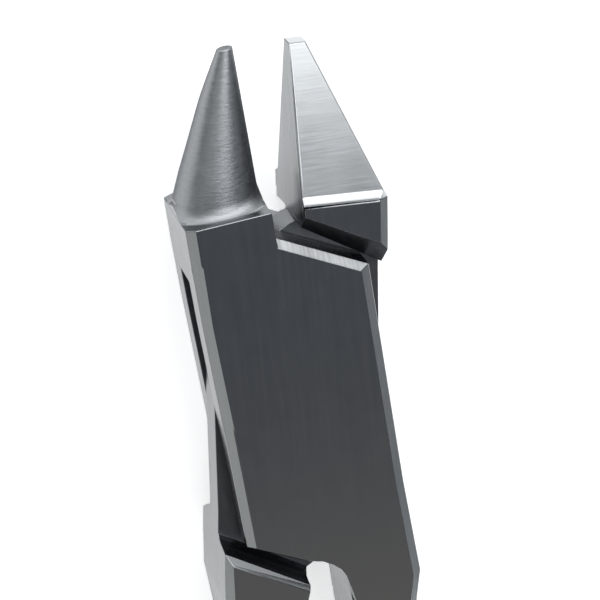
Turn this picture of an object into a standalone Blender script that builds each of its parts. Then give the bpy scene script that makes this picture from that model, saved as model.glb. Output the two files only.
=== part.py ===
"""Small box-joint pliers with one round beak and one pyramid beak.

The pliers lie flat: the back face is z = 0, the front face is up, the beaks point to +Y.
Each half is drawn in its own flat frame (u across, v along, z up) about the joint axis,
then turned by half of the opening angle.  The tongue of the pyramid half passes through
the slot in the cone half.  Units are millimetres here and metres in the scene.
"""
import math

import bmesh
import bpy
from mathutils import Matrix, Vector

MM = 0.001

# Box joint
THICK = 9.0                    # whole thickness of both halves
SLOT_LOW = 2.92                # slot walls in the cone half
SLOT_HIGH = 6.08
TONGUE_GAP = 0.07              # running gap on each face of the tongue
CHAMFER = 0.5                  # height of the long edge chamfers
OPEN_HALF = 4.0                # each half is turned this many degrees at rest
PIN_R = 2.5
PIN_FIT = 0.02                 # gap of the pressed pin in the cheeks
PIN_RUN = 0.05                 # running gap of the pin in the tongue
PIN_TOP = 8.3                  # the pin is driven in from the back and stops under the front face

# Beaks
BLOCK_TOP = 17.1
CONE_FOOT = 18.4               # where the cone leaves its foot fillet
CONE_RINGS = ((18.4, 3.28), (20.2, 2.86), (22.0, 2.43), (23.8, 2.01), (25.6, 1.59),
              (27.0, 1.21), (28.2, 0.87), (29.1, 0.62), (29.16, 0.56))
CONE_SIDE = -0.06              # the cone's inner side runs along the centre line
FOOT_R = 1.14
PYRAMID_FOOT = 17.55
PYRAMID_TIP = 28.95
PYRAMID_SIDE = 0.07            # its flat inner side runs along the centre line too

# Handles: along v, then centre u, width, thickness and chamfer
HANDLE = ((-19.0, 3.8, 5.1, 8.97, 0.74), (-22.0, 3.6, 5.1, 8.7, 0.8),
          (-27.0, 4.2, 5.1, 8.0, 0.9), (-33.0, 5.9, 5.0, 7.2, 1.0),
          (-40.0, 8.2, 4.8, 6.4, 1.1), (-50.0, 11.2, 4.6, 5.8, 1.2),
          (-62.0, 13.3, 4.6, 5.6, 1.2), (-75.0, 13.4, 4.5, 5.4, 1.2),
          (-88.0, 11.6, 4.2, 5.0, 1.2), (-93.0, 10.6, 3.6, 4.4, 1.1))
# Grips: along v, then width and thickness
GRIP = ((-43.0, 7.4, 8.4), (-43.4, 8.5, 9.5), (-44.4, 8.8, 9.8), (-45.4, 8.4, 9.4),
        (-48.0, 8.4, 9.4), (-62.0, 9.2, 10.4), (-78.0, 9.0, 10.0), (-91.0, 8.6, 9.4),
        (-95.0, 7.8, 8.6), (-97.0, 6.2, 6.8), (-98.1, 4.0, 4.4), (-98.5, 1.6, 1.8))
GRIP_FIT = 0.05
GRIP_INNER_END = -93.6

# Return springs
ROOT_V = -33.0                 # place of the rivet along the handle
SPRING_T = 0.7
SPRING_GAP = 0.25              # the leaf rocks on its rivet, so it has play above and below
SPRING_ROOT_W = 4.0
SPRING_TIP_W = 3.2
PAD = 1.7                      # half length of the flat root
RIVET_R = 0.8
RIVET_HEAD_R = 1.45
RIVET_HEAD_H = 0.7
RIVET_DEPTH = 2.6
RIVET_PLAY = 0.2
# Leaf centre line below its root, across and along, in the rest pose
LEAF = ((6.18, -37.3), (6.05, -40.0), (5.45, -43.2), (3.95, -50.0), (2.1, -58.0),
        (0.8, -65.2), (0.44, -69.0), (0.72, -71.6), (1.45, -73.0))


def clear_scene():
    """Remove everything that the empty start-up scene holds."""
    for thing in list(bpy.data.objects):
        bpy.data.objects.remove(thing, do_unlink=True)


def make_material(name, colour, metallic, roughness):
    """One Principled material."""
    mat = bpy.data.materials.new(name)
    mat.use_nodes = True
    shader = mat.node_tree.nodes["Principled BSDF"]
    shader.inputs["Base Color"].default_value = (*colour, 1.0)
    shader.inputs["Metallic"].default_value = metallic
    shader.inputs["Roughness"].default_value = roughness
    mat.diffuse_color = (*colour, 1.0)
    return mat


def solid(name, bm):
    """Turn a bmesh drawn in millimetres into a closed object, faces outward."""
    bmesh.ops.remove_doubles(bm, verts=bm.verts, dist=0.0005)
    bmesh.ops.recalc_face_normals(bm, faces=bm.faces)
    bmesh.ops.scale(bm, vec=(MM, MM, MM), verts=bm.verts)
    mesh = bpy.data.meshes.new(name)
    bm.to_mesh(mesh)
    bm.free()
    obj = bpy.data.objects.new(name, mesh)
    bpy.context.scene.collection.objects.link(obj)
    return obj


def loft(name, rings):
    """Close a stack of rings, each with the same number of corners, with a cap at both ends."""
    bm = bmesh.new()
    rows = [[bm.verts.new(corner) for corner in ring] for ring in rings]
    count = len(rows[0])
    for low, high in zip(rows, rows[1:]):
        for i in range(count):
            j = (i + 1) % count
            bm.faces.new((low[i], low[j], high[j], high[i]))
    bm.faces.new(rows[0])
    bm.faces.new(rows[-1])
    return solid(name, bm)


def prism(name, outline, low, high):
    """A flat outline raised between two heights."""
    return loft(name, [[(u, v, z) for u, v in outline] for z in (low, high)])


def inset_corner(before, here, after):
    """Where the two edges at a corner meet once each is moved inward by its own distance."""
    a = Vector((here[0] - before[0], here[1] - before[1])).normalized()
    b = Vector((after[0] - here[0], after[1] - here[1])).normalized()
    na = Vector((-a.y, a.x))
    nb = Vector((-b.y, b.x))
    turn = a.x * b.y - a.y * b.x
    if abs(turn) < 0.05:
        return Vector(here[:2]) + nb * ((before[2] + here[2]) / 2.0)
    pa = Vector(here[:2]) + na * before[2]
    pb = Vector(here[:2]) + nb * here[2]
    along = ((pb.x - pa.x) * b.y - (pb.y - pa.y) * b.x) / turn
    return pa + a * along


def plate(name, outline):
    """A full-thickness plate; each outline corner also says how far the next edge is chamfered."""
    area = sum(p[0] * q[1] - q[0] * p[1] for p, q in zip(outline, outline[1:] + outline[:1]))
    if area < 0:
        corners = list(reversed(outline))
        cuts = [corners[(i + 1) % len(corners)][2] for i in range(len(corners))]
        outline = [(c[0], c[1], cut) for c, cut in zip(corners, cuts)]
    count = len(outline)
    inner = [inset_corner(outline[i - 1], outline[i], outline[(i + 1) % count])
             for i in range(count)]
    rings = [[(p.x, p.y, 0.0) for p in inner],
             [(p[0], p[1], CHAMFER) for p in outline],
             [(p[0], p[1], THICK - CHAMFER) for p in outline],
             [(p.x, p.y, THICK) for p in inner]]
    return loft(name, rings)


def combine(target, tool, operation):
    """Apply an exact Boolean and drop the tool."""
    step = target.modifiers.new(operation.lower(), "BOOLEAN")
    step.operation = operation
    step.solver = "EXACT"
    step.object = tool
    bpy.context.view_layer.update()
    seen = target.evaluated_get(bpy.context.evaluated_depsgraph_get())
    result = bpy.data.meshes.new_from_object(seen)
    target.modifiers.clear()
    target.data = result
    bpy.data.objects.remove(tool, do_unlink=True)
    return target


def tidy(obj):
    """Weld the corners that the Booleans leave and keep every face flat."""
    bm = bmesh.new()
    bm.from_mesh(obj.data)
    bmesh.ops.remove_doubles(bm, verts=bm.verts, dist=0.000002)
    bmesh.ops.dissolve_degenerate(bm, edges=bm.edges, dist=0.000001)
    bmesh.ops.triangulate(bm, faces=[f for f in bm.faces if len(f.verts) > 4])
    bmesh.ops.recalc_face_normals(bm, faces=bm.faces)
    bm.to_mesh(obj.data)
    bm.free()
    return obj


def disc_ring(centre, across, along, radius, sides=64):
    """Corners of a circle in the plane of two directions."""
    ring = []
    for i in range(sides):
        turn = 2.0 * math.pi * (i + 0.5) / sides
        ring.append(centre + across * (radius * math.cos(turn)) + along * (radius * math.sin(turn)))
    return ring


def rod(name, start, axis, profile, sides=64):
    """A turned piece: profile pairs are the distance along the axis and the radius."""
    axis = axis.normalized()
    across = axis.orthogonal().normalized()
    along = axis.cross(across)
    rings = [disc_ring(start + axis * d, across, along, r, sides) for d, r in profile]
    return loft(name, rings)


def smooth(rows, v):
    """Cubic interpolation of a table whose first column falls steadily."""
    last = len(rows) - 1
    k = 0
    while k < last - 1 and v < rows[k + 1][0]:
        k += 1
    a, b = rows[k], rows[k + 1]
    before = rows[max(k - 1, 0)]
    after = rows[min(k + 2, last)]
    t = (v - a[0]) / (b[0] - a[0])
    span = b[0] - a[0]
    out = []
    for i in range(1, len(a)):
        slope_a = (b[i] - before[i]) / (b[0] - before[0]) * span
        slope_b = (after[i] - a[i]) / (after[0] - a[0]) * span
        out.append((2 * t**3 - 3 * t**2 + 1) * a[i] + (t**3 - 2 * t**2 + t) * slope_a
                   + (3 * t**2 - 2 * t**3) * b[i] + (t**3 - t**2) * slope_b)
    return out


def path_at(v):
    """Centre point, downward direction and inward direction of the handle at v."""
    low = smooth(HANDLE, v - 0.2)[0]
    high = smooth(HANDLE, v + 0.2)[0]
    down = Vector((low - high, -0.4, 0.0)).normalized()
    inward = Vector((down.y, -down.x, 0.0))
    return Vector((smooth(HANDLE, v)[0], v, THICK / 2.0)), down, inward


def bar_ring(v, grow=0.0):
    """Chamfered rectangle of the handle at v, square to its centre line."""
    _, width, thick, cut = smooth(HANDLE, v)
    centre, _, inward = path_at(v)
    w = width / 2.0 + grow
    h = thick / 2.0 + grow
    flat = [(-w, -h + cut), (-w, h - cut), (-w + cut, h), (w - cut, h),
            (w, h - cut), (w, -h + cut), (w - cut, -h), (-w + cut, -h)]
    return [centre + inward * x + Vector((0, 0, 1)) * z for x, z in flat]


def handle_bar(name, top, end, grow=0.0, steps=34):
    """The handle as one loft from v = top to v = end."""
    rings = [bar_ring(top + (end - top) * i / steps, grow) for i in range(steps + 1)]
    return loft(name, rings)


def grip_ring(v, sides=40):
    """Rounded section of the grip at v."""
    width, thick = smooth(GRIP, v)
    centre, _, inward = path_at(v)
    ring = []
    for i in range(sides):
        turn = 2.0 * math.pi * (i + 0.5) / sides
        c, s = math.cos(turn), math.sin(turn)
        x = math.copysign(abs(c) ** 0.8, c) * width / 2.0
        z = math.copysign(abs(s) ** 0.8, s) * thick / 2.0
        ring.append(centre + inward * x + Vector((0, 0, 1)) * z)
    return ring


def mirrored(obj):
    """Flip a half drawn on the right so that it serves on the left."""
    bm = bmesh.new()
    bm.from_mesh(obj.data)
    bmesh.ops.transform(bm, matrix=Matrix.Scale(-1.0, 4, Vector((1, 0, 0))), verts=bm.verts)
    bmesh.ops.recalc_face_normals(bm, faces=bm.faces)
    bm.to_mesh(obj.data)
    bm.free()
    return obj


def slot_region():
    """Plan of the space that the tongue needs inside the cone half."""
    return [(-9.0, 10.7), (-6.75, 12.0), (0.0, 15.9), (0.0, 20.0), (9.0, 20.0),
            (9.0, -10.7), (6.75, -12.0), (0.0, -15.9), (0.0, -18.0), (-9.0, -18.0)]


def cone_beak():
    """Round beak with its foot fillet, its inner side straight along the centre line."""
    rings = []
    profile = [(15.8, CONE_RINGS[0][1] + FOOT_R)]
    for i in range(9):
        turn = math.pi / 2.0 * i / 8
        profile.append((BLOCK_TOP + FOOT_R * (1.0 - math.cos(turn)),
                        CONE_RINGS[0][1] + FOOT_R * (1.0 - math.sin(turn))))
    profile += [row for row in CONE_RINGS if row[0] > CONE_FOOT]
    for v, r in profile:
        middle = CONE_SIDE - min(r, CONE_RINGS[0][1])
        centre = Vector((middle, v, THICK / 2.0))
        rings.append(disc_ring(centre, Vector((1, 0, 0)), Vector((0, 0, 1)), r, 72))
    beak = loft("cone_beak", rings)
    keep = prism("keep", [(-6.74, 15.0), (-0.05, 15.0), (-0.05, 31.0), (-6.74, 31.0)], -1.0, 11.0)
    return combine(beak, keep, "INTERSECT")


def cone_half():
    """Cone beak, upper block, slotted box and the handle on the right."""
    outline = [(-6.76, BLOCK_TOP, 0.0), (-0.05, BLOCK_TOP, 0.0), (-0.05, 14.86, 0.6),
               (6.84, 10.92, 0.78), (6.84, 0.0, 0.78), (6.86, -8.2, 0.78), (7.1, -16.5, 0.72),
               (6.45, -19.0, 0.72), (6.2, -20.4, 0.0), (1.12, -20.4, 0.72), (1.16, -18.6, 0.4),
               (1.1, -16.8, 0.14), (0.95, -15.8, 0.12), (0.8, -15.1, 0.12), (0.5, -14.4, 0.12),
               (-0.1, -13.8, 0.12), (-0.85, -13.3, 0.12), (-1.7, -13.05, 0.16),
               (-2.5, -12.75, 0.25), (-6.56, -10.4, 0.7),
               (-6.66, 0.0, 0.7), (-6.8, 9.0, 0.74), (-6.8, 14.0, 0.78)]
    body = plate("cone_half", outline)
    combine(body, cone_beak(), "UNION")
    combine(body, handle_bar("bar", -19.0, -93.0), "UNION")
    combine(body, prism("slot", slot_region(), SLOT_LOW, SLOT_HIGH), "DIFFERENCE")
    heel = [(-9.0, -7.4), (0.0, -12.6), (0.4, -13.4), (0.45, -16.6), (-9.0, -16.6)]
    combine(body, prism("heel", heel, -1.0, SLOT_LOW + 0.5), "DIFFERENCE")
    hole = rod("hole", Vector((0, 0, -1.0)), Vector((0, 0, 1)),
               [(0.0, PIN_R + PIN_FIT), (PIN_TOP + 1.0 + PIN_FIT, PIN_R + PIN_FIT)], 96)
    combine(body, hole, "DIFFERENCE")
    combine(body, rivet_hole(), "DIFFERENCE")
    return tidy(body)


def pocket(name, levels):
    """Space for one cheek: at each height the upper and the lower shoulder line."""
    rings = []
    for z, top_in, top_out, low_out, low_in in levels:
        slope = (top_out - top_in) / 6.75
        fall = (low_in - low_out) / 6.75
        rings.append([(-9.0, top_in + 5.0, z), (-0.4, top_in + 5.0, z), (-0.2, top_in, z),
                      (9.0, top_in + slope * 9.2, z), (9.0, -19.0, z), (0.4, -19.0, z),
                      (0.4, low_in + fall * 0.4, z), (-9.0, low_out - fall * 2.25, z)])
    return loft(name, rings)


def pyramid_ring(v, u_high, half, cut, across=0.12, down=0.12):
    """Rectangle across the pyramid beak, with its outer corners cut by their own amounts."""
    mid = THICK / 2.0
    flat = [(PYRAMID_SIDE, mid - half + cut), (PYRAMID_SIDE, mid + half - cut),
            (PYRAMID_SIDE + cut, mid + half), (u_high - across, mid + half),
            (u_high, mid + half - down), (u_high, mid - half + down),
            (u_high - across, mid - half), (PYRAMID_SIDE + cut, mid - half)]
    return [(u, v, z) for u, z in flat]


def facet():
    """Bevel under the front face of the upper block, running along its lower edge."""
    rings = []
    for u in (-1.0, 9.0):
        edge = 16.15 - 0.458 * (u - 0.3)
        low = SLOT_HIGH - TONGUE_GAP + 0.02
        rings.append([(u, edge + 1.5, THICK + 1.52), (u, edge - (THICK - low) / 1.016, low),
                      (u, edge - 7.0, low), (u, edge - 7.0, THICK + 1.52)])
    return loft("facet", rings)


def pyramid_half():
    """Pyramid beak, upper block, tongue and the handle on the left."""
    outline = [(PYRAMID_SIDE, BLOCK_TOP, 0.0), (6.82, BLOCK_TOP, 0.76), (6.82, 13.4, 0.76),
               (6.7, 10.6, 0.76), (6.72, -10.8, 0.3), (0.45, -15.0, 0.3), (0.1, -15.4, 0.12),
               (0.05, -16.2, 0.3), (-0.4, -18.0, 0.6), (-1.12, -20.4, 0.0),
               (-6.2, -20.4, 0.75), (-6.45, -19.0, 0.75), (-6.96, -16.2, 0.75),
               (-6.92, -13.4, 0.6), (-6.76, -9.0, 0.3), (-6.76, 10.8, 0.3), (-0.35, 14.85, 0.1),
               (PYRAMID_SIDE, 14.97, 0.05)]
    body = plate("pyramid_half", outline)
    beak = loft("beak", [pyramid_ring(15.9, 6.8, 4.48, 0.06, 0.76, CHAMFER),
                         pyramid_ring(BLOCK_TOP, 6.8, 4.48, 0.06, 0.76, CHAMFER),
                         pyramid_ring(PYRAMID_FOOT, 6.6, 3.84, 0.1),
                         pyramid_ring(PYRAMID_TIP - 0.06, 1.48, 0.76, 0.1),
                         pyramid_ring(PYRAMID_TIP, 1.42, 0.7, 0.1)])
    combine(body, beak, "UNION")
    bar = mirrored(handle_bar("bar", -19.0, -93.0))
    combine(body, bar, "UNION")
    top = SLOT_HIGH - TONGUE_GAP
    low = SLOT_LOW + TONGUE_GAP
    front = [(top, 15.2, 11.29, -11.0, -14.7), (top + 0.25, 15.2, 11.29, -11.25, -14.95),
             (top + 0.8, 15.2, 11.29, -11.45, -15.15), (THICK - 1.3, 15.2, 11.29, -11.55, -15.3),
             (THICK - CHAMFER, 15.2, 11.29, -11.65, -15.35), (THICK, 15.2, 11.29, -12.3, -15.75),
             (THICK + 1.0, 15.2, 11.29, -13.2, -16.4)]
    combine(body, pocket("front_pocket", front), "DIFFERENCE")
    combine(body, facet(), "DIFFERENCE")
    back = [(-1.0, 15.0, 11.8, -12.3, -16.0), (0.0, 15.1, 11.9, -11.7, -15.5),
            (CHAMFER, 15.2, 12.0, -11.1, -15.1), (low - 0.5, 15.35, 12.15, -9.95, -14.1),
            (low, 15.35, 12.15, -9.7, -13.9)]
    combine(body, pocket("back_pocket", back), "DIFFERENCE")
    hole = rod("hole", Vector((0, 0, 1.0)), Vector((0, 0, 1)),
               [(0.0, PIN_R + PIN_RUN), (7.5, PIN_R + PIN_RUN)], 96)
    combine(body, hole, "DIFFERENCE")
    combine(body, mirrored(rivet_hole()), "DIFFERENCE")
    return tidy(body)


def root_frame():
    """Seat point on the handle's inner face, with the downward and inward directions there."""
    centre, down, inward = path_at(ROOT_V)
    width = smooth(HANDLE, ROOT_V)[1]
    return centre + inward * (width / 2.0), down, inward


def rivet_hole():
    """Blind hole for the spring rivet."""
    seat, _, inward = root_frame()
    return rod("rivet_hole", seat - inward * (RIVET_DEPTH + 0.1), inward,
               [(0.0, RIVET_R + PIN_FIT), (RIVET_DEPTH + 1.1, RIVET_R + PIN_FIT)], 40)


def spring_rivet(name):
    """Rivet that holds the root of a leaf, with a low domed head."""
    seat, _, inward = root_frame()
    head = RIVET_DEPTH + SPRING_GAP * 2.0 + SPRING_T
    profile = [(0.0, RIVET_R - 0.15), (0.2, RIVET_R), (head, RIVET_R), (head, RIVET_HEAD_R),
               (head + RIVET_HEAD_H * 0.4, RIVET_HEAD_R), (head + RIVET_HEAD_H * 0.75, 1.15),
               (head + RIVET_HEAD_H, 0.6)]
    return rod(name, seat - inward * RIVET_DEPTH, inward, profile, 40)


def leaf_points():
    """Centre line of the leaf in the half's own frame, from the free root end to the tip."""
    seat, down, inward = root_frame()
    hinge = seat + inward * (SPRING_GAP + SPRING_T / 2.0)
    turn = math.radians(-OPEN_HALF)
    below = []
    for x, y in LEAF:
        u = x * math.cos(turn) - y * math.sin(turn)
        v = x * math.sin(turn) + y * math.cos(turn)
        below.append(Vector((u, v, THICK / 2.0)))
    return hinge, [hinge - down * PAD, hinge, hinge + down * PAD] + below


def curve_through(points, per_span=5):
    """Points on a smooth curve through the given ones."""
    out = []
    for k in range(len(points) - 1):
        a, b = points[k], points[k + 1]
        before = points[max(k - 1, 0)]
        after = points[min(k + 2, len(points) - 1)]
        reach = (b - a).length
        ta = (b - before) / max((b - before).length, 1e-6) * reach
        tb = (after - a) / max((after - a).length, 1e-6) * reach
        if k == 0:
            ta = b - a
            tb = b - a
        if k == 1:
            ta = b - a
        for i in range(per_span):
            t = i / per_span
            out.append(a * (2 * t**3 - 3 * t**2 + 1) + ta * (t**3 - 2 * t**2 + t)
                       + b * (3 * t**2 - 2 * t**3) + tb * (t**3 - t**2))
    return out + [points[-1]]


def leaf_spring(name):
    """A bent steel strip, narrowing to a curled tip, with a rivet hole in its flat root."""
    _, points = leaf_points()
    line = curve_through(points)
    rings = []
    last = len(line) - 1
    for i, point in enumerate(line):
        ahead = line[min(i + 1, last)] - line[max(i - 1, 0)]
        side = Vector((ahead.y, -ahead.x, 0.0)).normalized() * (SPRING_T / 2.0)
        half = (SPRING_ROOT_W + (SPRING_TIP_W - SPRING_ROOT_W) * i / last) / 2.0
        if i in (0, last):
            half -= 0.5
        up = Vector((0, 0, half))
        rings.append([point - side - up, point + side - up, point + side + up, point - side + up])
    leaf = loft(name, rings)
    seat, _, inward = root_frame()
    hole = rod("hole", seat - inward * 1.0, inward,
               [(0.0, RIVET_R + RIVET_PLAY), (4.0, RIVET_R + RIVET_PLAY)], 40)
    return tidy(combine(leaf, hole, "DIFFERENCE"))


def grip(name):
    """Dipped sleeve with a bead at its mouth and a closed, rounded end."""
    stops = []
    for a, b in zip(GRIP, GRIP[1:]):
        count = max(1, int(round((a[0] - b[0]) / 1.9)))
        stops += [a[0] + (b[0] - a[0]) * i / count for i in range(count)]
    stops.append(GRIP[-1][0])
    sleeve = loft(name, [grip_ring(v) for v in stops])
    core = handle_bar("core", GRIP[0][0] + 1.5, GRIP_INNER_END, GRIP_FIT, 40)
    return tidy(combine(sleeve, core, "DIFFERENCE"))


def joint_pin():
    """Headless pin, flush with the back face."""
    profile = [(0.0, PIN_R), (PIN_TOP - 0.3, PIN_R), (PIN_TOP, PIN_R - 0.3)]
    return rod("joint_pin", Vector((0, 0, 0)), Vector((0, 0, 1)), profile, 96)


def place(obj, material, degrees, parent=None, hinge=None):
    """Give an object its material and its turn about the joint axis, or about its own hinge."""
    obj.data.materials.clear()
    obj.data.materials.append(material)
    for face in obj.data.polygons:
        face.material_index = 0
    turn = Matrix.Rotation(math.radians(degrees), 4, "Z")
    if hinge is not None:
        obj.data.transform(Matrix.Translation(-hinge * MM))
        obj.location = turn @ (hinge * MM)
    obj.rotation_euler = (0.0, 0.0, math.radians(degrees))
    if parent is not None:
        bpy.context.view_layer.update()
        obj.parent = parent
        obj.matrix_parent_inverse = parent.matrix_world.inverted()
    return obj


def build():
    """Build every piece and put it in the rest pose."""
    clear_scene()
    steel = make_material("satin_steel", (0.50, 0.51, 0.52), 1.0, 0.28)
    back_steel = make_material("satin_steel_tongue", (0.50, 0.51, 0.52), 1.0, 0.28)
    pin_steel = make_material("ground_pin", (0.46, 0.47, 0.48), 1.0, 0.25)
    spring_steel = make_material("spring_steel", (0.42, 0.43, 0.45), 1.0, 0.3)
    rivet_steel = make_material("rivet_steel", (0.55, 0.55, 0.56), 1.0, 0.25)
    vinyl = make_material("grip_vinyl", (0.02, 0.05, 0.16), 0.0, 0.45)

    cone = place(cone_half(), steel, OPEN_HALF)
    place(joint_pin(), pin_steel, OPEN_HALF, cone)
    place(grip("right_grip"), vinyl, OPEN_HALF, cone)
    place(spring_rivet("right_spring_rivet"), rivet_steel, OPEN_HALF, cone)

    pyramid = place(pyramid_half(), back_steel, -OPEN_HALF)
    place(mirrored(grip("left_grip")), vinyl, -OPEN_HALF, pyramid)
    place(mirrored(spring_rivet("left_spring_rivet")), rivet_steel, -OPEN_HALF, pyramid)

    hinge, _ = leaf_points()
    flip = Vector((-hinge.x, hinge.y, hinge.z))
    place(leaf_spring("right_leaf_spring"), spring_steel, OPEN_HALF, cone, hinge)
    place(mirrored(leaf_spring("left_leaf_spring")), spring_steel, -OPEN_HALF, pyramid, flip)
    bpy.context.view_layer.update()


build()
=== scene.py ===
# %% [markdown]
# # Small box-joint pliers, made ready for the eye
#
# The solid model of these pliers is already made: two steel halves that cross in a box
# joint, a pin, two leaf springs with their rivets, and two dipped grips.  It is exact in
# size, but it is plain: each edge is perfectly sharp and each part has one flat colour.
# This lesson keeps each part where it is and gives it what a toolmaker's work would:
# broken edges that catch the light, grinding lines, and a finish of its own for each face.
#
# The first step loads the model.  Everything is in metres, and the origin is on the axis
# of the joint, with the beaks pointing to +Y and the front face up.

# %% Load the solid model
import math

import bmesh
import bpy
from mathutils import Matrix, Vector


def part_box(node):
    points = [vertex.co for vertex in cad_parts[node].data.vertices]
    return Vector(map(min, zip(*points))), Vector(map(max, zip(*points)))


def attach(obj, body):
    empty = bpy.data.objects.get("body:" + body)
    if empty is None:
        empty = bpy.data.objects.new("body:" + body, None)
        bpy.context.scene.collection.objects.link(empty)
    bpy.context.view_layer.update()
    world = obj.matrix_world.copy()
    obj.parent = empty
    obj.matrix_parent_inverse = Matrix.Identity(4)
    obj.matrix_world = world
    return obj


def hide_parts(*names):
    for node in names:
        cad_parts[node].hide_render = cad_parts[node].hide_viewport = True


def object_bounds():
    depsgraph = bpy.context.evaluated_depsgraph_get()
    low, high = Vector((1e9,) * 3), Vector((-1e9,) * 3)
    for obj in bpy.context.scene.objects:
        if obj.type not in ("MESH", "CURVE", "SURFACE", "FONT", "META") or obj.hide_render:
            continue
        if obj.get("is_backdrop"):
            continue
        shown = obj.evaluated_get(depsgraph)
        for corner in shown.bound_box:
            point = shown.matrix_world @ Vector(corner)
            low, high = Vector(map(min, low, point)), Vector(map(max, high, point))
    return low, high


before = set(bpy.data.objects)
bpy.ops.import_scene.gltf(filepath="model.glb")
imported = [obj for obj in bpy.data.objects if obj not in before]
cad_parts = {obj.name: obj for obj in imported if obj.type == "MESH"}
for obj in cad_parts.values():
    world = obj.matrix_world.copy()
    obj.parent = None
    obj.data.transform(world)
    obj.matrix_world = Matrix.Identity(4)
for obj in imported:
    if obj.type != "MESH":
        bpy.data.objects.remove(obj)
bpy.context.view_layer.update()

MM = 0.001
print("nodes:", ", ".join(sorted(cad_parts)))

# %% [markdown]
# ## Two helpers for every material
#
# Colours are easy to pick as sRGB hex codes, but a shader works with linear light, so one
# function converts them.  A material is a small network of nodes, and typing each one out
# takes many lines, so a second function adds a node, fills in its values and plugs in its
# links.  Both are used all the way through.

# %% Colour and node helpers
def linear(code):
    """An sRGB hex colour as linear light, with full alpha."""
    levels = [int(code[start:start + 2], 16) / 255.0 for start in (1, 3, 5)]
    light = [v / 12.92 if v <= 0.04045 else ((v + 0.055) / 1.055) ** 2.4 for v in levels]
    return (*light, 1.0)


def add(tree, kind, settings, links):
    """Add one node; settings are its properties or input values, links feed its inputs."""
    made = tree.nodes.new(kind)
    for key, value in settings.items():
        if isinstance(key, str) and key in made.bl_rna.properties:
            setattr(made, key, value)
        else:
            made.inputs[key].default_value = value
    for key, source in links.items():
        tree.links.new(source, made.inputs[key])
    return made


print("mid grey as linear light:", [round(v, 3) for v in linear("#808080")])

# %% [markdown]
# ## The camera
#
# The pliers lie flat and the camera looks down on the beaks and the joint from past the
# tip, a little from the left, so the handles run out of the bottom of the picture.  It
# could be placed by hand and turned until it looks right, but a camera that is worked out
# from a point to look at, two angles, a roll and a distance is easier to read and change.

# %% Place the camera
AIM = Vector((1.264, 7.657, 4.5)) * MM      # the point that the camera looks at
DISTANCE = 204.6 * MM
LEAN_LEFT = math.radians(12.423)            # from straight above towards -X
LEAN_TIP = math.radians(22.864)             # and towards the tip, +Y
ROLL = math.radians(-5.448)
SENSOR = 36                                 # mm wide
LENS = 156.25                               # mm
NEAREST = 0.01                              # nothing nearer than this is drawn, m
FARTHEST = 20


def make_camera():
    """Create the scene's camera from the values above."""
    back = Vector((-math.sin(LEAN_LEFT) * math.cos(LEAN_TIP), math.sin(LEAN_TIP),
                   math.cos(LEAN_LEFT) * math.cos(LEAN_TIP)))
    level = Vector((0, 1, 0)).cross(back).normalized()
    upright = back.cross(level)
    right = level * math.cos(ROLL) + upright * math.sin(ROLL)
    up = upright * math.cos(ROLL) - level * math.sin(ROLL)
    data = bpy.data.cameras.new("camera")
    data.lens = LENS
    data.sensor_width = SENSOR
    data.clip_start = NEAREST
    data.clip_end = FARTHEST
    camera = bpy.data.objects.new("camera", data)
    bpy.context.scene.collection.objects.link(camera)
    placed = Matrix((right, up, back)).transposed().to_4x4()
    placed.translation = AIM + back * DISTANCE
    camera.matrix_world = placed
    bpy.context.scene.camera = camera
    return camera


camera = make_camera()
print("camera at (mm):", [round(v / MM, 1) for v in camera.matrix_world.translation])

# %% [markdown]
# ## From a solid to a finished piece
#
# No real edge is perfectly sharp.  After grinding, the edges of a tool are broken by a
# tenth of a millimetre or less, and that narrow band is what shows as a bright line.  A
# shader trick could fake it, but here each piece gets real geometry: the solid's surface is
# copied, its triangles are joined back into whole flats, and a Bevel modifier rounds each
# edge where two flats meet.  Curved stretches, whose small facets meet at a few degrees,
# stay under the angle limit and are only shaded smooth.
#
# A bevel needs room.  Where an edge is very short, or ends in a very thin corner, the
# rounded band would run past its neighbours and leave a spike, so such edges stay sharp.

# %% Start a piece from a node
DOUBLE = 0.0005 * MM           # corners closer than this are one corner
SPECK = 0.012 * MM             # a leftover of the cuts is shorter than this
FLAT = math.radians(0.3)       # facets that meet at less than this are one flat
CREASE = math.radians(12)      # ground steel that turns by more than this is shaded as an edge
CORNER = math.radians(24)      # and an edge that turns by more than this is broken as well
STUB = 0.16 * MM               # an edge shorter than this has no room to be broken
NARROW = math.radians(14)      # nor has an edge that ends in a corner as thin as this


def cleaned(node):
    """The surface of a node as whole flats, without doubled corners."""
    bm = bmesh.new()
    bm.from_mesh(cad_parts[node].data)
    for layer in list(bm.loops.layers.uv):
        bm.loops.layers.uv.remove(layer)
    bmesh.ops.remove_doubles(bm, verts=bm.verts, dist=DOUBLE)
    bmesh.ops.dissolve_degenerate(bm, edges=bm.edges, dist=SPECK)
    bmesh.ops.dissolve_limit(bm, angle_limit=FLAT, verts=bm.verts, edges=bm.edges)
    return bm


def has_room(line):
    """Whether a sharp edge can be broken without running into its neighbours."""
    if line.calc_face_angle(0.0) < CORNER or line.calc_length() < STUB:
        return False
    corners = [loop for face in line.link_faces for loop in face.loops if loop.vert in line.verts]
    return min(loop.calc_angle() for loop in corners) > NARROW


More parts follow.
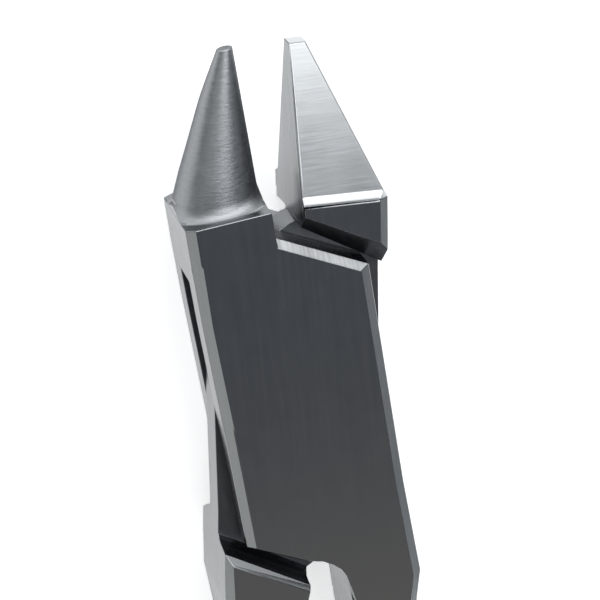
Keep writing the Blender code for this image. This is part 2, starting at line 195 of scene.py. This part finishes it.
def piece(bm, name, edge, steps, crease=CREASE, share=lambda line: 1.0):
    """Turn a bmesh into an object whose sharp edges are rounded off by edge metres.

    share gives the part of that width which one edge gets.
    """
    weight = bm.edges.layers.float.new("bevel_weight_edge")
    for line in bm.edges:
        line[weight] = share(line) if has_room(line) else 0.0
    mesh = bpy.data.meshes.new(name)
    bm.to_mesh(mesh)
    bm.free()
    if "custom_normal" in mesh.attributes:
        mesh.attributes.remove(mesh.attributes["custom_normal"])
    mesh.shade_smooth()
    mesh.set_sharp_from_angle(angle=crease)
    made = bpy.data.objects.new(name, mesh)
    bpy.context.scene.collection.objects.link(made)
    bevel = made.modifiers.new("broken_edges", "BEVEL")
    bevel.width = edge
    bevel.segments = steps
    bevel.limit_method = "WEIGHT"
    bevel.use_clamp_overlap = False
    bevel.loop_slide = False
    bevel.harden_normals = True
    print(name, "has", len(mesh.polygons), "faces before its edges are broken")
    return made


# %% [markdown]
# ## Ground steel
#
# Both halves are forged from tool steel and ground.  Bare steel reflects a little less than
# half to two thirds of the light, with a faint cold tint, so the colour is a mid grey and
# the metallic value is 1.  What makes one face differ from the next is how it was ground.
# A wheel leaves fine parallel lines: long in one direction and a few hundredths of a
# millimetre apart in the other.  Such lines are a Noise texture that is stretched along
# the grinding direction.  They feed a bump, and together with larger, softer clouds they
# move the roughness and the colour slightly.
#
# The real lines are finer than the picture can show, so each spacing below is about four
# times the real one.  The same function makes all the ground faces, and each call says
# which way the wheel ran, how far apart its marks are and how much they show.

# %% The function for ground steel
CLOUD_SHARE = 0.35                # how much of the variation comes from the clouds
LOW, HIGH = 0.3, 0.7              # nearly all values of a Noise texture lie between these
ROUGHNESS_SWING = 0.12            # the roughness moves by this share of itself


def ground_steel(name, tint, roughness, spacing, depth, contrast, mottle, rim=1.0):
    """Bare ground steel.

    spacing is the distance of the marks along X, Y and Z, depth is how deep they are and
    mottle is the size of the clouds, all in mm.  contrast is how far the colour moves.  rim
    darkens what is seen at a grazing angle, where deep marks shade each other.
    """
    mat = bpy.data.materials.new(name)
    mat.use_nodes = True
    tree = mat.node_tree
    shader = tree.nodes["Principled BSDF"]
    shader.inputs["Metallic"].default_value = 1.0
    shader.inputs["Specular Tint"].default_value = (rim, rim, rim, 1.0)
    place = add(tree, "ShaderNodeTexCoord", {}, {})
    marks = add(tree, "ShaderNodeMapping",
                {"Scale": [1.0 / (s * MM) for s in spacing]}, {"Vector": place.outputs["Object"]})
    lines = add(tree, "ShaderNodeTexNoise",
                {"Scale": 1.0, "Detail": 3.0, "Roughness": 0.6}, {"Vector": marks.outputs[0]})
    clouds = add(tree, "ShaderNodeTexNoise",
                 {"Scale": 1.0 / (mottle * MM), "Detail": 4.0}, {"Vector": place.outputs["Object"]})
    both = add(tree, "ShaderNodeMix", {"data_type": "FLOAT", "Factor": CLOUD_SHARE},
               {2: lines.outputs[0], 3: clouds.outputs[0]})
    dark = [v * (1.0 - contrast) for v in linear(tint)[:3]] + [1.0]
    light = [min(1.0, v * (1.0 + contrast)) for v in linear(tint)[:3]] + [1.0]
    tone = add(tree, "ShaderNodeMapRange", {"From Min": LOW, "From Max": HIGH},
               {"Value": both.outputs[0]})
    colour = add(tree, "ShaderNodeMix", {"data_type": "RGBA", 6: dark, 7: light},
                 {"Factor": tone.outputs[0]})
    gloss = add(tree, "ShaderNodeMapRange",
                {"From Min": LOW, "From Max": HIGH,
                 "To Min": roughness * (1.0 - ROUGHNESS_SWING),
                 "To Max": roughness * (1.0 + ROUGHNESS_SWING)},
                {"Value": both.outputs[0]})
    bump = add(tree, "ShaderNodeBump", {"Strength": 1.0, "Distance": depth * MM},
               {"Height": lines.outputs[0]})
    tree.links.new(colour.outputs[2], shader.inputs["Base Color"])
    tree.links.new(gloss.outputs[0], shader.inputs["Roughness"])
    tree.links.new(bump.outputs[0], shader.inputs["Normal"])
    print("material", name)
    return mat


# %% [markdown]
# ### The finishes of the two halves
#
# Seven finishes are enough for both halves.  The comment above each one says what it gives
# the eye.

# %% Finishes for the halves
# Lapped on a fine plate: hardly a mark, and almost a mirror for the room above.
lapped_flat = ground_steel("lapped_tool_steel", "#a6a9ac", 0.20, (0.35, 9.0, 0.35),
                           0.00012, 0.015, 1.6)
# Ground lengthwise on a belt, a little rougher than the chamfers and given a darker tint: painted
# shade on the upright sides, which mirror the bright floor. An even grey.
side_steel_painted_shade = ground_steel("side_tool_steel_painted_shade", "#7b7e80", 0.26, (0.22, 14.0, 0.22),
                           0.003, 0.06, 2.5)
# Ground lengthwise on a finer belt: clear bands beside the flats.
belt_ground = ground_steel("belt_ground_tool_steel", "#999c9d", 0.24, (0.22, 14.0, 0.22),
                           0.003, 0.06, 2.5)
# Ground across by hand: short, rough stripes that catch the light.
coarse_ground = ground_steel("coarse_ground_tool_steel", "#a6a8a9", 0.32, (0.17, 9.0, 3.0),
                             0.012, 0.30, 1.2)
# Turned, then tumbled: soft broken rings, and sides that fall off into the dark.
turned_beak = ground_steel("tumbled_turned_steel", "#9a9da0", 0.45, (0.7, 0.2, 0.7),
                           0.026, 0.10, 0.45, 0.2)
# Brushed across: a bright sheen with fine level lines.
brushed_beak = ground_steel("cross_brushed_steel", "#c0c3c5", 0.19, (4.0, 0.10, 4.0),
                            0.0006, 0.08, 3.0)
# Left as milled, with a darker tint that is painted shade: for faces between the parts and the dark
# facets above the joint.
joint_painted_shade = ground_steel("joint_steel_painted_shade", "#74777a", 0.34, (0.5, 2.0, 0.5),
                           0.002, 0.12, 0.9, 0.5)
HALF_FINISHES = [belt_ground, side_steel_painted_shade, coarse_ground, lapped_flat, turned_beak,
                 brushed_beak, joint_painted_shade]

# %% [markdown]
# ## The two steel halves
#
# Each half is one forging from beak to handle end, so it stays one piece, and its finishes
# are given face by face.  A face is easiest to recognise in the half's own straight frame,
# before it is turned by half of the opening angle: then the flats look along Z, the beaks
# start above the shoulder, and the walls of the box joint lie between two heights.
#
# All edges of the halves are broken by the same small width but one.  The ledge under the
# pyramid beak is rounded off further towards the front face, and shows there as a dark and
# a bright line side by side.

# %% Sort faces by where they are and which way they look
HALF_OPEN = math.radians(4.0)     # each half is turned this far in the rest pose
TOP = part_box("pyramid_half")[1].z
SHOULDER = 17.2 * MM              # above this, a face belongs to a beak
JOINT_LOW = 2.8 * MM              # the slot and the tongue lie between these heights
JOINT_HIGH = 6.2 * MM
JOINT_REACH = 16.5 * MM           # and no further than this from the joint's axis
SURFACE = 0.1 * MM                # a face this close to the front or back belongs to it
SQUARE = 0.98                     # a face looks straight along an axis
ALONG = 0.9                       # or mostly along it
SLANTED = 0.4                     # or is slanted towards it
ACROSS = 0.2                      # or is nearly square to it
EDGE = 0.07 * MM                  # how far the edges of the halves are broken
LEDGE_EDGE = 0.24 * MM            # and how far the edge of the ledge is
LEDGE_FROM = 16.3 * MM            # above this, an edge of the front face is the ledge's


def finish_of(centre, normal, beak):
    """Which of HALF_FINISHES a face of a half gets, in the half's own frame."""
    if centre.y > SHOULDER:
        # The flat outer side of a beak gets the side steel, whose darker tint is painted shade.
        return HALF_FINISHES.index(side_steel_painted_shade) if normal.x < -SQUARE else beak
    inside = JOINT_LOW < centre.z < JOINT_HIGH and abs(centre.y) < JOINT_REACH
    # Faces in the slot and on the tongue get painted shade, a darker steel where the parts shade
    # each other.
    if inside and abs(normal.z) > ALONG:
        return HALF_FINISHES.index(joint_painted_shade)
    # The facets above the joint that face the handles get the same painted shade, for the dark they
    # reflect.
    if centre.z > JOINT_HIGH and normal.y < -ACROSS and centre.y > 0:
        return HALF_FINISHES.index(joint_painted_shade)
    if normal.y > SLANTED and normal.z > SLANTED and centre.y > 0:
        return HALF_FINISHES.index(coarse_ground)
    at_surface = centre.z < SURFACE or centre.z > TOP - SURFACE
    if abs(normal.z) > SQUARE and at_surface:
        return HALF_FINISHES.index(lapped_flat)
    upright = abs(normal.z) < ACROSS
    # Upright faces get the side steel, whose darker tint is painted shade; slanted ones get the
    # belt-ground chamfer steel.
    return HALF_FINISHES.index(side_steel_painted_shade if upright else belt_ground)


def steel_half(node, name, turn, beak):
    """One steel half with broken edges and a finish for each of its faces."""
    bm = cleaned(node)
    straight = Matrix.Rotation(-turn, 4, "Z")
    for face in bm.faces:
        centre = straight @ face.calc_center_median()
        normal = straight.to_3x3() @ face.normal
        face.material_index = finish_of(centre, normal, HALF_FINISHES.index(beak))

    def share(line):
        """The whole width for the ledge's edge, and less for every other edge."""
        ends = [straight @ corner.co for corner in line.verts]
        is_ledge = beak is brushed_beak and all(
            end.y > LEDGE_FROM and end.z > TOP - SURFACE for end in ends)
        return 1.0 if is_ledge else EDGE / LEDGE_EDGE

    made = piece(bm, name, LEDGE_EDGE, 3, CREASE, share)
    for mat in HALF_FINISHES:
        made.data.materials.append(mat)
    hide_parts(node)
    return made


cone_steel = steel_half("cone_half", "cone_half_finished", HALF_OPEN, turned_beak)
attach(cone_steel, "cone_body")
pyramid_steel = steel_half("pyramid_half", "pyramid_half_finished", -HALF_OPEN, brushed_beak)
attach(pyramid_steel, "pyramid_body")

# %% [markdown]
# ## Pin, springs and rivets
#
# The pin is ground round and pressed in from the back, where its end shows as a bright disc
# with a broken rim.  The leaf springs are rolled strip, hardened and polished, with lines
# along the strip.  The rivets have domed heads: a wide bevel of several steps turns the
# solid's flat disc into a dome, and stays inside its height.

# %% Finishes for the small steel pieces
# Ground between two wheels: brighter and plainer than the halves around it.
ground_pin = ground_steel("centreless_ground_steel", "#babdc0", 0.2, (0.3, 0.3, 0.3),
                          0.001, 0.05, 0.8)
# Rolled and hardened strip: a grey band with lines along it.
rolled_strip = ground_steel("polished_spring_strip", "#85888b", 0.24, (5.0, 6.0, 0.12),
                            0.0012, 0.06, 1.5)
# Headed cold: a small soft glint on a dome.
rivet_metal = ground_steel("headed_rivet_steel", "#a9acae", 0.26, (0.4, 0.4, 0.4),
                           0.003, 0.08, 0.6)

# %% Make the small steel pieces
SMALL = (
    # node, body, finish, slot, how far its edges are broken (mm), steps of the rounding
    ("joint_pin", "cone_body", ground_pin, "pin_steel", 0.12, 3),
    ("right_leaf_spring", "right_spring_body", rolled_strip, "spring_steel", 0.1, 2),
    ("left_leaf_spring", "left_spring_body", rolled_strip, "spring_steel", 0.1, 2),
    ("right_spring_rivet", "cone_body", rivet_metal, "rivet_steel", 0.3, 4),
    ("left_spring_rivet", "pyramid_body", rivet_metal, "rivet_steel", 0.3, 4),
)
for node, body, mat, slot, edge, steps in SMALL:
    small = piece(cleaned(node), node + "_finished", edge * MM, steps)
    small.data.materials.append(mat)
    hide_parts(node)
    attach(small, body)

# %% [markdown]
# ## The dipped grips
#
# The handles are dipped in liquid PVC, which sets to a soft skin.  It is dark blue, a bit
# glossy and slightly uneven, like orange peel, and its open end has a thicker bead.

# %% Grip material and pieces
PVC_IOR = 1.53
PEEL = 0.9 * MM                   # size of the bumps of the skin
PEEL_DEPTH = 0.03 * MM
PATCH = 7.0 * MM                  # size of its lighter and darker patches
PATCH_SWING = 0.15                # and how far they are from the mean colour
GLOSS = (0.3, 0.48)               # roughness between and on the bumps


def dipped_pvc(name, tint):
    """Soft PVC: a broad gloss on a skin that is never quite flat."""
    mat = bpy.data.materials.new(name)
    mat.use_nodes = True
    tree = mat.node_tree
    shader = tree.nodes["Principled BSDF"]
    shader.inputs["IOR"].default_value = PVC_IOR
    place = add(tree, "ShaderNodeTexCoord", {}, {})
    peel = add(tree, "ShaderNodeTexNoise", {"Scale": 1.0 / PEEL, "Detail": 2.0},
               {"Vector": place.outputs["Object"]})
    tone = add(tree, "ShaderNodeTexNoise", {"Scale": 1.0 / PATCH, "Detail": 3.0},
               {"Vector": place.outputs["Object"]})
    dark = [v * (1.0 - PATCH_SWING) for v in linear(tint)[:3]] + [1.0]
    light = [v * (1.0 + PATCH_SWING) for v in linear(tint)[:3]] + [1.0]
    colour = add(tree, "ShaderNodeMix", {"data_type": "RGBA", 6: dark, 7: light},
                 {"Factor": tone.outputs[0]})
    gloss = add(tree, "ShaderNodeMapRange", {"To Min": GLOSS[0], "To Max": GLOSS[1]},
                {"Value": peel.outputs[0]})
    bump = add(tree, "ShaderNodeBump", {"Strength": 1.0, "Distance": PEEL_DEPTH},
               {"Height": peel.outputs[0]})
    tree.links.new(colour.outputs[2], shader.inputs["Base Color"])
    tree.links.new(gloss.outputs[0], shader.inputs["Roughness"])
    tree.links.new(bump.outputs[0], shader.inputs["Normal"])
    print("material", name)
    return mat


SOFT_CREASE = math.radians(60)    # a dipped skin has no crease but the rim of its mouth
SOFT_EDGE = 0.15 * MM
grip_skin = dipped_pvc("dipped_pvc", "#22345c")
for side, body in (("right", "cone_body"), ("left", "pyramid_body")):
    node = side + "_grip"
    grip = piece(cleaned(node), node + "_finished", SOFT_EDGE, 3, SOFT_CREASE)
    grip.data.materials.append(grip_skin)
    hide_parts(node)
    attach(grip, body)

# %% [markdown]
# ## The floor and the light
#
# Polished steel has no tone of its own: it shows the room.  So the lights are large soft
# boxes, and each stands where one group of faces looks.  The flats of the joint look up
# and away from the tip into a dark part of the room, so only a dim warm box stands near there.
#
# The edge of the box over the tip is what shades the pyramid beak: its upper end sees the
# box, its lower end looks past the edge.  The gap between that box and the one beyond the
# tip is the dark line below the ledge.

# %% A plain pale floor
FLOOR_HALF = 1500 * MM            # half of its side
GLOW = 0.62                       # together with the soft boxes this makes it look white


def pale_floor(height):
    """A flat sheet under the pliers, which glows a little, as a light table does."""
    bm = bmesh.new()
    corners = [(-1, -1), (1, -1), (1, 1), (-1, 1)]
    bm.faces.new([bm.verts.new((x * FLOOR_HALF, y * FLOOR_HALF, height)) for x, y in corners])
    mesh = bpy.data.meshes.new("pale_floor")
    bm.to_mesh(mesh)
    bm.free()
    made = bpy.data.objects.new("pale_floor", mesh)
    bpy.context.scene.collection.objects.link(made)
    mat = bpy.data.materials.new("matt_white_sheet")
    mat.use_nodes = True
    tree = mat.node_tree
    shader = tree.nodes["Principled BSDF"]
    place = add(tree, "ShaderNodeTexCoord", {}, {})
    grain = add(tree, "ShaderNodeTexNoise", {"Scale": 400.0}, {"Vector": place.outputs["Object"]})
    colour = add(tree, "ShaderNodeMix", {"data_type": "RGBA", 6: linear("#f2f3f3"),
                                         7: linear("#f7f7f7")}, {"Factor": grain.outputs[0]})
    tree.links.new(colour.outputs[2], shader.inputs["Base Color"])
    shader.inputs["Roughness"].default_value = 0.9
    shader.inputs["Emission Color"].default_value = linear("#ffffff")
    shader.inputs["Emission Strength"].default_value = GLOW
    made.data.materials.append(mat)
    made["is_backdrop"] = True
    print("floor at", round(height / MM, 2), "mm")


pale_floor(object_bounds()[0].z)

# %% Soft boxes
ROOM_TONE = (0.094, 0.106, 0.122, 1.0)      # a dim room with a cold tint
LIGHTS = (
    # name, place and point that it faces (m), width and height (m), brightness, colour
    ("over_the_tip", (0.30, 0.725, 1.1), (0.30, 0.725, 0.0), (1.08, 0.92), 2.9, "#ffffff"),
    ("over_the_left", (-0.85, 0.35, 0.95), (0.0, 0.0, 0.0), (0.8, 0.9), 0.6, "#fbfbf6"),
    ("over_the_beaks", (0.28, -0.04, 1.1), (0.28, -0.04, 0.0), (0.50, 0.18), 2.2, "#ffffff"),
    ("beyond_the_tip", (0.2, 1.2, 0.34), (0.1, 0.0, 0.0), (1.8, 0.6), 3.6, "#ffffff"),
    ("right_of_the_tip", (1.4, 0.95, 0.5), (0.0, 0.0, 0.0), (0.8, 0.9), 1.2, "#ffffff"),
    ("left_side", (-1.0, -0.7, 0.62), (0.0, 0.0, 0.0), (0.9, 0.7), 0.72, "#fbfbf6"),
    ("right_side", (1.2, -0.55, 0.3), (0.0, 0.0, 0.0), (0.8, 0.6), 0.3, "#f8faff"),
    ("over_the_handles", (0.2, -1.05, 1.1), (0.2, -1.05, 0.0), (1.6, 0.9), 0.16, "#ffe8c8"),
)


def soft_box(name, place, faces, size, brightness, tint):
    """A rectangular area light; its power follows from how bright its surface is."""
    data = bpy.data.lights.new(name, "AREA")
    data.shape = "RECTANGLE"
    data.size, data.size_y = size
    data.energy = brightness * math.pi * size[0] * size[1]
    data.color = linear(tint)[:3]
    made = bpy.data.objects.new(name, data)
    bpy.context.scene.collection.objects.link(made)
    made.location = place
    made.rotation_mode = "QUATERNION"
    made.rotation_quaternion = (Vector(faces) - Vector(place)).to_track_quat("-Z", "Y")
    print("light", name, round(data.energy, 2), "W")


for row in LIGHTS:
    soft_box(*row)
room = bpy.data.worlds.new("dim_room")
bpy.context.scene.world = room
room.use_nodes = True
room.node_tree.nodes["Background"].inputs["Color"].default_value = ROOM_TONE
bpy.context.scene.view_settings.view_transform = "Standard"
